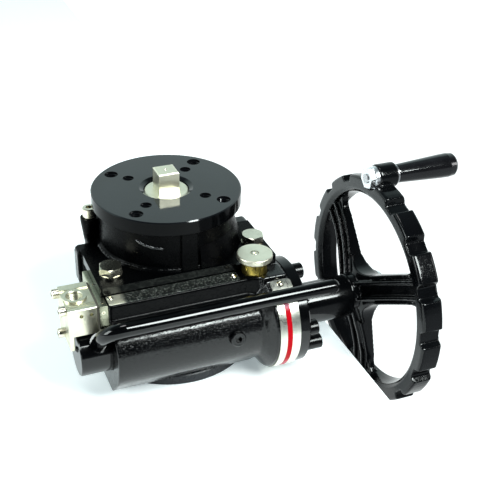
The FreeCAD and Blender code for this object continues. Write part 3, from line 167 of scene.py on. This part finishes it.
# ------------------------------------------------------------------ materials
class Mat:
    """A node material with short calls for the usual procedural pieces."""

    def __init__(self, name):
        self.m = bpy.data.materials.new(name)
        self.m.use_nodes = True
        self.t = self.m.node_tree
        self.b = self.t.nodes["Principled BSDF"]
        self.co = self.t.nodes.new("ShaderNodeTexCoord").outputs["Object"]

    def link(self, a, b):
        self.t.links.new(a, b)

    def n(self, kind, **kw):
        x = self.t.nodes.new("ShaderNode" + kind)
        for k, v in kw.items():
            setattr(x, k, v)
        return x

    def mapped(self, scale=(1, 1, 1), rot=(0, 0, 0), loc=(0, 0, 0)):
        x = self.n("Mapping")
        x.inputs["Scale"].default_value = scale
        x.inputs["Rotation"].default_value = rot
        x.inputs["Location"].default_value = loc
        self.link(self.co, x.inputs[0])
        return x.outputs[0]

    def noise(self, scale, detail=3.0, rough=0.5, vec=None, distort=0.0):
        x = self.n("TexNoise")
        x.inputs["Scale"].default_value = scale
        x.inputs["Detail"].default_value = detail
        x.inputs["Roughness"].default_value = rough
        x.inputs["Distortion"].default_value = distort
        self.link(vec or self.co, x.inputs["Vector"])
        return x.outputs["Fac"]

    def voronoi(self, scale, feature="F1", vec=None, smooth=None):
        x = self.n("TexVoronoi", feature=feature)
        x.inputs["Scale"].default_value = scale
        if smooth is not None and "Smoothness" in x.inputs:
            x.inputs["Smoothness"].default_value = smooth
        self.link(vec or self.co, x.inputs["Vector"])
        return x.outputs["Distance"]

    def ramp(self, fac, stops):
        x = self.n("ValToRGB")
        els = x.color_ramp.elements
        while len(els) < len(stops):
            els.new(0.5)
        for el, (p, c) in zip(els, stops):
            el.position = p
            el.color = (c, c, c, 1) if isinstance(c, (int, float)) else (*c, 1)
        self.link(fac, x.inputs[0])
        return x.outputs[0]

    def range(self, fac, a, b, lo, hi):
        x = self.n("MapRange")
        for i, v in zip((1, 2, 3, 4), (a, b, lo, hi)):
            x.inputs[i].default_value = v
        self.link(fac, x.inputs[0])
        return x.outputs[0]

    def math(self, op, a, b=None):
        x = self.n("Math", operation=op)
        for i, v in enumerate((a, b)):
            if v is None:
                continue
            if isinstance(v, (int, float)):
                x.inputs[i].default_value = v
            else:
                self.link(v, x.inputs[i])
        return x.outputs[0]

    def mix(self, fac, a, b):
        x = self.n("Mix", data_type="RGBA")
        for s, v in ((0, fac), (6, a), (7, b)):
            if isinstance(v, (int, float)):
                x.inputs[s].default_value = v if s == 0 else (v, v, v, 1)
            elif isinstance(v, tuple):
                x.inputs[s].default_value = (*v, 1)
            else:
                self.link(v, x.inputs[s])
        return x.outputs[2]

    def bump(self, height, strength, dist, normal=None):
        x = self.n("Bump")
        x.inputs["Strength"].default_value = strength
        x.inputs["Distance"].default_value = dist
        self.link(height, x.inputs["Height"])
        if normal is not None:
            self.link(normal, x.inputs["Normal"])
        return x.outputs[0]

    def set(self, **kw):
        names = {"base": "Base Color", "rough": "Roughness", "metal": "Metallic", "normal": "Normal", "coat": "Coat Weight",
                 "coat_rough": "Coat Roughness", "spec": "Specular IOR Level", "aniso": "Anisotropic", "ior": "IOR"}
        for k, v in kw.items():
            s = self.b.inputs[names[k]]
            if isinstance(v, (int, float)):
                s.default_value = v
            elif isinstance(v, tuple):
                s.default_value = (*v, 1)
            else:
                self.link(v, s)
        return self

    def xyz(self):
        s = self.n("SeparateXYZ")
        self.link(self.co, s.inputs[0])
        return s.outputs


def enamel(name, cast=0.0, rough=(0.07, 0.13), tone=0.0022, spec=0.35):
    """Black gloss enamel. cast 0 is over a machined face, 1 over a sand casting."""
    m = Mat(name)
    cloud = m.noise(28, 4, 0.6)
    base = m.mix(m.range(cloud, 0.35, 0.7, 0, 1), (tone * 0.7, tone * 0.8, tone * 1.0), (tone * 1.2, tone * 1.4, tone * 1.7))
    r = m.range(m.noise(160, 4, 0.6), 0.3, 0.7, rough[0], rough[1])
    peel = m.bump(m.noise(380, 2, 0.5), 0.04, 0.0004)
    if cast:
        grit = m.noise(900, 3, 0.62, distort=0.4)
        n2 = m.bump(m.range(grit, 0.55, 0.74, 0, 1), 0.30 * cast, 0.0005, peel)
        normal = m.bump(m.noise(150, 3, 0.5), 0.08 * cast, 0.0008, n2)
    else:
        normal = peel
    m.set(base=base, rough=r, normal=normal, spec=spec)
    return m.m


def metal(name, tint_a, tint_b, rough, scratch_axis=None, bump=0.05, fine=900):
    m = Mat(name)
    cloud = m.noise(60, 4, 0.6)
    base = m.mix(m.range(cloud, 0.35, 0.68, 0, 1), tint_a, tint_b)
    if scratch_axis == "x":
        vec = m.mapped((8, 700, 700))
    elif scratch_axis == "y":
        vec = m.mapped((700, 8, 700))
    elif scratch_axis == "z":
        vec = m.mapped((700, 700, 8))
    else:
        vec = m.mapped((fine, fine, fine))
    line = m.noise(1.0, 3, 0.6, vec)
    r = m.math("ADD", m.range(line, 0.3, 0.7, rough[0], rough[1]), m.range(m.noise(140, 3), 0.4, 0.8, 0.0, 0.08))
    m.set(base=base, metal=1.0, rough=r, normal=m.bump(line, bump, 0.0003))
    return m.m


M = {}
M["enamel"] = enamel("black_enamel_smooth", 0.0, (0.08, 0.14), 0.0018, 0.48)
M["enamel_top"] = enamel("black_enamel_flange", 0.04, (0.05, 0.10), 0.0066, 0.60)
M["enamel_neck"] = enamel("black_enamel_neck", 0.5, (0.22, 0.34), 0.0010, 0.06)
M["rim"] = enamel("black_enamel_rim", 0.0, (0.07, 0.12), 0.0014, 0.10)
# painted shade: a darker, less reflective copy of the cast enamel, kept black on the case's upper front-facing and
# upward-facing faces
M["cast_dark"] = enamel("black_enamel_cast_painted_shade", 0.8, (0.16, 0.26), 0.0012, 0.10)
# painted shade: a darker copy of the nickel plate for the adapter plate, standing in for the darker reflections it
# shows
M["adapter"] = metal("adapter_nickel_painted_shade", (0.46, 0.47, 0.36), (0.34, 0.35, 0.26), (0.22, 0.32), None, 0.04, 1200)
M["weld"] = enamel("black_enamel_weld", 0.0, (0.06, 0.12), 0.0060, 0.9)
M["enamel_plate"] = enamel("black_enamel_plate", 0.5, (0.14, 0.24), 0.0016, 0.28)
M["cast"] = enamel("black_enamel_cast", 0.9, (0.10, 0.20), 0.0018, 0.50)
M["wheel"] = enamel("black_enamel_wheel", 0.20, (0.09, 0.15), 0.0030, 0.38)
M["rod"] = enamel("black_enamel_rod", 0.0, (0.06, 0.11), 0.0015, 0.42)
M["screw_black"] = enamel("black_enamel_screws", 0.2, (0.14, 0.22), 0.0018, 0.35)
M["flange"] = enamel("black_enamel_base_flange", 0.4, (0.22, 0.34), 0.0160, 0.40)
M["nickel"] = metal("nickel_plate", (0.76, 0.74, 0.60), (0.62, 0.61, 0.49), (0.26, 0.38), None, 0.05, 1200)
M["knob"] = metal("nickel_knob", (0.93, 0.90, 0.76), (0.82, 0.80, 0.66), (0.28, 0.40), None, 0.04, 1200)
M["stem"] = metal("nickel_stem", (0.84, 0.82, 0.68), (0.74, 0.72, 0.59), (0.32, 0.44), None, 0.03, 1200)
M["nickel_band"] = metal("nickel_band_steel", (0.72, 0.72, 0.65), (0.58, 0.59, 0.52), (0.24, 0.34), "y", 0.04)
M["stainless"] = metal("stainless_fasteners", (0.74, 0.71, 0.60), (0.54, 0.52, 0.43), (0.16, 0.26), None, 0.04, 1500)
M["zinc"] = metal("bright_zinc", (0.90, 0.91, 0.92), (0.80, 0.82, 0.84), (0.24, 0.32), None, 0.0, 300)
M["steel"] = metal("ground_steel", (0.60, 0.60, 0.61), (0.48, 0.48, 0.49), (0.20, 0.32), "x", 0.04)
M["bronze"] = metal("bearing_bronze", (0.62, 0.40, 0.18), (0.50, 0.31, 0.13), (0.25, 0.38), None, 0.05)
M["brass"] = metal("aged_brass", (0.56, 0.44, 0.12), (0.36, 0.28, 0.07), (0.22, 0.36), "z", 0.10)


def plastic():
    m = Mat("black_grip_plastic")
    m.set(base=m.mix(m.range(m.noise(40, 3), 0.4, 0.7, 0, 1), (0.006, 0.006, 0.007), (0.012, 0.012, 0.014)),
          rough=m.range(m.noise(240, 4, 0.6), 0.3, 0.7, 0.06, 0.12), normal=m.bump(m.noise(260, 2), 0.02, 0.0004), spec=0.7)
    return m.m


def rubber(name, a, b, r):
    m = Mat(name)
    m.set(base=m.mix(m.noise(300, 4, 0.7), a, b), rough=m.range(m.noise(500, 3), 0.3, 0.7, r, r + 0.15), normal=m.bump(m.noise(1500, 3), 0.2, 0.0003))
    return m.m


def stripe():
    m = Mat("red_indicator_paint")
    x, y, z = m.xyz()
    mottle = m.noise(120, 5, 0.7)
    # a short darker piece at the top, then a paler pink patch higher up broken by noise, deep red between, and paler
    # again towards the lower end
    dark = m.range(z, 0.0835, 0.0860, 0, 1)
    high = m.math("MULTIPLY", m.range(z, 0.0745, 0.0790, 0, 1), m.range(z, 0.0850, 0.0830, 0, 1))
    low = m.range(z, 0.030, 0.014, 0, 0.75)
    fade = m.math("MAXIMUM", high, low)
    patch = m.math("MULTIPLY", fade, m.range(mottle, 0.35, 0.6, 0.45, 1))
    red = m.mix(dark, (0.40, 0.0008, 0.008), (0.12, 0.0008, 0.003))
    m.set(base=m.mix(patch, red, (0.72, 0.34, 0.44)), rough=m.range(mottle, 0.3, 0.7, 0.34, 0.46), normal=m.bump(mottle, 0.08, 0.0003), spec=0.08)
    return m.m


def plate_metal():
    m = Mat("nameplate_steel")
    x, y, z = m.xyz()
    line = m.noise(1.0, 3, 0.6, m.mapped((12, 900, 900)))
    spots = m.noise(520, 5, 0.8)
    left = m.range(m.math("ADD", x, m.range(spots, 0.3, 0.7, -0.002, 0.002)), -0.0560, -0.0600, 0, 1)
    dark = m.mix(m.range(spots, 0.52, 0.64, 0, 1), (0.050, 0.056, 0.052), (0.62, 0.66, 0.60))
    m.set(base=m.mix(left, dark, (0.85, 0.84, 0.70)), metal=m.range(spots, 0.3, 0.7, 0.85, 1.0),
          rough=m.range(line, 0.3, 0.7, 0.36, 0.50), normal=m.bump(spots, 0.35, 0.0003))
    return m.m


def floor_mat():
    m = Mat("white_table")
    m.set(base=m.mix(m.noise(3, 3), (0.92, 0.925, 0.93), (0.95, 0.95, 0.95)), rough=0.55, normal=m.bump(m.noise(300, 2), 0.03, 0.0005))
    m.b.inputs["Emission Color"].default_value = (0.84, 0.97, 1.0, 1)
    m.b.inputs["Emission Strength"].default_value = 0.36
    return m.m


M["grip"] = plastic()
M["rubber"] = rubber("seal_rubber", (0.012, 0.012, 0.012), (0.03, 0.03, 0.03), 0.5)
M["gasket"] = rubber("gasket_fibre", (0.05, 0.05, 0.04), (0.12, 0.11, 0.09), 0.6)
M["stripe"] = stripe()
M["plate"] = plate_metal()
table.data.materials.append(floor_mat())

ASSIGN = {
    "base_flange": "flange", "base_screws": "zinc", "base_o_ring": "rubber", "gear_case": "cast", "housing_plug": "cast",
    "upper_bush": "bronze", "stem_seal": "rubber", "lower_bush": "bronze", "lower_thrust_washer": "bronze", "upper_thrust_washer": "bronze",
    "end_cover": "enamel", "end_cover_screws": "screw_black", "cover_stop_screw": "screw_black", "indicator_band": "nickel_band",
    "indicator_stripe": "stripe", "band_screws": "stainless", "top_bracket": "enamel_top", "bracket_gasket": "gasket",
    "plate_bolts": "stainless", "plate_washers": "stainless", "dowel_pins": "steel", "rear_post_screws": "stainless",
    "nameplate": "plate", "nameplate_screws": "stainless", "adapter_plate": "adapter", "adapter_screws": "stainless",
    "valve_gasket": "gasket", "valve_body": "nickel", "valve_screws": "stainless", "plunger_spring": "steel", "lock_spring": "steel",
    "drive_stem": "stem", "stem_o_ring": "rubber", "wheel_key": "steel", "wheel_retaining_ring": "steel", "worm_wheel": "bronze",
    "eccentric_sleeve": "enamel", "sleeve_end_screw": "screw_black", "worm_bush_left": "bronze", "worm_bush_right": "bronze",
    "worm_thrust_washers": "bronze", "worm_spacer_tube": "steel", "shaft_seal": "rubber", "declutch_lever": "rod", "lever_collar": "enamel", "sleeve_shroud": "enamel",
    "worm_shaft": "steel", "handwheel": "wheel", "hub_key": "steel", "hub_spacer": "enamel", "hub_washer": "zinc", "hub_screw": "zinc",
    "crank_pin": "steel", "crank_nut": "zinc", "crank_washer": "zinc", "crank_grip": "grip", "valve_plunger": "steel",
    "lock_plunger": "brass", "lock_knob": "knob", "knob_screw": "stainless",
}
for name, key in ASSIGN.items():
    o = nodes[name]
    if not o.material_slots:
        o.data.materials.append(None)
    for s in o.material_slots:
        s.material = M[key]


# ------------------------------------------------------------------ detail pieces
BODY = {n: b for b, ns in frame["record"]["behaviour"]["bodies"].items() for n in ns}


def node_copy(name, weld=False):
    me = nodes[name].data.copy()
    me.name = name + "_fine"
    if weld:
        bm = bmesh.new()
        bm.from_mesh(me)
        bmesh.ops.remove_doubles(bm, verts=bm.verts, dist=2e-6)
        bm.to_mesh(me)
        bm.free()
    me.materials.clear()
    ob = bpy.data.objects.new(name + "_fine", me)
    scene.collection.objects.link(ob)
    return ob


def bake(ob):
    dg = bpy.context.evaluated_depsgraph_get()
    me = bpy.data.meshes.new_from_object(ob.evaluated_get(dg))
    ob.modifiers.clear()
    ob.data = me


def stand_for(ob, name):
    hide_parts(name)
    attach(ob, BODY[name])


def add(ob, body, key):
    if key:
        ob.data.materials.append(M[key])
    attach(ob, body)
    return ob


def soften(name, key, voxel, iterations=3, amp=0.0, scale=90.0, tris=185000):
    """A casting: the node's own shape with its edges eased, and its skin a little uneven, never further out than the CAD."""
    ob = node_copy(name, True)
    rm = ob.modifiers.new("remesh", "REMESH")
    rm.mode = "VOXEL"
    rm.voxel_size = voxel
    sm = ob.modifiers.new("smooth", "SMOOTH")
    sm.factor, sm.iterations = 0.5, iterations
    bake(ob)
    me = ob.data
    if amp:
        me.update()
        normals = [v.normal.copy() for v in me.vertices]
        for v, nn in zip(me.vertices, normals):
            h = 0.6 * noise.noise(v.co * scale) + 0.4 * noise.noise(v.co * scale * 3.1)
            v.co -= nn * amp * (0.5 + 0.5 * h)
    n = sum(len(p.vertices) - 2 for p in me.polygons)
    if n > tris:
        d = ob.modifiers.new("dec", "DECIMATE")
        d.ratio = tris / n
        bake(ob)
    for p in ob.data.polygons:
        p.use_smooth = True
    ob.data.materials.clear()
    ob.data.materials.append(M[key])
    stand_for(ob, name)
    return ob


case = soften("gear_case", "cast", 0.00095, 2, 0.00016, 70.0)
# painted shade: upper case faces that face the front or point up take the darker copy of the cast enamel
case.data.materials.append(M["cast_dark"])
for p in case.data.polygons:
    if p.center.z > 0.0775 and (p.normal.y < -0.6 or p.normal.z > 0.5) and p.center.x < 0.052:
        p.material_index = 1
soften("handwheel", "wheel", 0.00085, 3, 0.00010, 60.0)

# the bracket keeps its machined faces; its disc, neck and plate are finished differently
br = node_copy("top_bracket")
for key in ("enamel_top", "enamel_neck", "enamel_plate", "enamel", "rim"):
    br.data.materials.append(M[key])
for p in br.data.polygons:
    c, nz = p.center, p.normal.z
    if c.z > 0.1368 and nz > 0.3:
        p.material_index = 0
    elif c.z > 0.1355 and abs(nz) <= 0.3:
        p.material_index = 4
    elif p.normal.x < -0.8 and c.z < 0.1025:
        p.material_index = 3
    else:
        p.material_index = 1 if c.z > 0.1018 else 2
stand_for(br, "top_bracket")

# the two coil springs, each a steel copy of its node that stands in for it
for name, joint, anchor, keep in (
    ("lock_spring", "lock_press", (0.0523, -0.064, 0.0797), 0.5),
    ("plunger_spring", "valve_lift", (-0.089, -0.0625, 0.0876), 0.6),
):
    coil = node_copy(name)
    coil.data.materials.append(M["steel"])
    stand_for(coil, name)
    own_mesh(coil)


def bead(name, pts, rad, body, key, seed=1, lump=0.28, step=0.0011, squash=0.7):
    """A weld bead: a lumpy run of overlapping ripples along a line of (point, normal)."""
    rnd = random.Random(seed)
    dense = []
    for (a, na), (b, nb) in zip(pts, pts[1:]):
        k = max(2, int((Vector(b) - Vector(a)).length / (step / 4)))
        for i in range(k):
            t = i / k
            dense.append((Vector(a).lerp(Vector(b), t), Vector(na).lerp(Vector(nb), t).normalized()))
    dense.append((Vector(pts[-1][0]), Vector(pts[-1][1]).normalized()))
    sides = 12
    verts, faces = [], []
    total = len(dense)
    wob = rnd.random() * 10
    for i, (c, nn) in enumerate(dense):
        tan = (dense[min(i + 1, total - 1)][0] - dense[max(i - 1, 0)][0]).normalized()
        side = tan.cross(nn).normalized()
        end = min(1.0, min(i, total - 1 - i) / 10.0)
        ripple = 0.86 + 0.14 * abs(math.sin(i * math.pi / 4.0))
        wide = rad * (1 + lump * noise.noise(Vector((i * 0.09, wob, 0)))) * ripple * (0.25 + 0.75 * math.sqrt(end))
        off = side * rad * 0.35 * noise.noise(Vector((i * 0.05, wob + 5, 0)))
        for j in range(sides):
            a = 2 * math.pi * j / sides
            g = 1 + 0.10 * noise.noise(Vector((i * 0.3, j * 0.9, wob)))
            verts.append(c + off + side * math.cos(a) * wide * g + nn * math.sin(a) * wide * squash * g)
    for i in range(total - 1):
        for j in range(sides):
            faces.append((i * sides + j, i * sides + (j + 1) % sides, (i + 1) * sides + (j + 1) % sides, (i + 1) * sides + j))
    faces.append(tuple(range(sides)))
    faces.append(tuple(range((total - 1) * sides, total * sides))[::-1])
    ob = mesh_object(name, verts, faces, True)
    bm = bmesh.new()
    bm.from_mesh(ob.data)
    bmesh.ops.recalc_face_normals(bm, faces=bm.faces)
    bm.to_mesh(ob.data)
    bm.free()
    return add(ob, body, key)


def polar(deg, rad, z):
    t = math.radians(deg)
    return (rad * math.cos(t) * MM, rad * math.sin(t) * MM, z * MM), (math.cos(t), math.sin(t), 0.25)


crescent = [(-133.5, 128.3), (-132.2, 127.7), (-128.5, 125.8), (-125.3, 124.5), (-121.5, 123.6), (-118.5, 123.1), (-114.0, 122.8), (-110.6, 122.7)]
bead("neck_weld_mark", [polar(d, 56.0, z) for d, z in crescent], 0.0013, "gearbox", "weld", 3, 0.45, 0.0010, 0.8)
foot = [polar(d, 56.4, 103.2 + 0.9 * noise.noise(Vector((d * 0.08, 1, 2)))) for d in range(-178, -22, 4)]
bead("neck_foot_weld", foot, 0.0013, "gearbox", "enamel_plate", 5, 0.40, 0.0012, 0.8)


def thread(name, origin, axis, r_out, r_in, depth, pitch, body, key, turns_from=0.4):
    """The thread in a tapped hole: a helical ridge with a triangular section, open at the bore."""
    ax = Vector(axis).normalized()
    u = ax.orthogonal().normalized()
    w = ax.cross(u)
    seg = 40
    turns = (depth - turns_from * 2) / pitch
    steps = int(turns * seg)
    verts, faces = [], []
    o = Vector(origin)
    for i in range(steps + 1):
        a = 2 * math.pi * i / seg
        h = turns_from + pitch * i / seg
        run = min(1.0, min(i, steps - i) / (seg * 0.5))
        rt = r_out - (r_out - r_in) * run
        d = u * math.cos(a) + w * math.sin(a)
        for rr, dh in ((r_out + 0.00006, -0.42), (r_out + 0.00006, 0.42), (rt, 0.06), (rt, -0.06)):
            verts.append(o + d * rr - ax * (h + dh * pitch))
    for i in range(steps):
        for j in range(4):
            faces.append((i * 4 + j, i * 4 + (j + 1) % 4, (i + 1) * 4 + (j + 1) % 4, (i + 1) * 4 + j))
    faces.append((0, 1, 2, 3))
    faces.append((steps * 4 + 3, steps * 4 + 2, steps * 4 + 1, steps * 4))
    ob = mesh_object(name, verts, faces)
    bm = bmesh.new()
    bm.from_mesh(ob.data)
    bmesh.ops.recalc_face_normals(bm, faces=bm.faces)
    bm.to_mesh(ob.data)
    bm.free()
    return add(ob, body, key)

line = [((x * MM, -0.0741, (78.2 + 0.5 * noise.noise(Vector((x * 0.11, 3, 4)))) * MM), (0, -0.7, 0.7)) for x in range(-70, 48, 3)]
bead("wall_cast_line", line, 0.00065, "gearbox", "weld", 9, 0.9, 0.0008, 0.8)
thread("port_thread", (-0.0920, -0.0520, 0.0948), (0, 0, 1), 0.00588, 0.00540, 0.0100, 0.00134, "gearbox", "nickel", 0.0006)
for i, a in enumerate((45, 135, 225, 315)):
    t = math.radians(a)
    thread("outer_hole_thread_%d" % (i + 1), (0.051 * math.cos(t), 0.051 * math.sin(t), 0.1476), (0, 0, 1), 0.00548, 0.00500, 0.0114, 0.00150, "gearbox", "enamel_top", 0.0008)
    thread("inner_hole_thread_%d" % (i + 1), (0.035 * math.cos(t), 0.035 * math.sin(t), 0.1476), (0, 0, 1), 0.00448, 0.00406, 0.0114, 0.00125, "gearbox", "enamel_top", 0.0008)
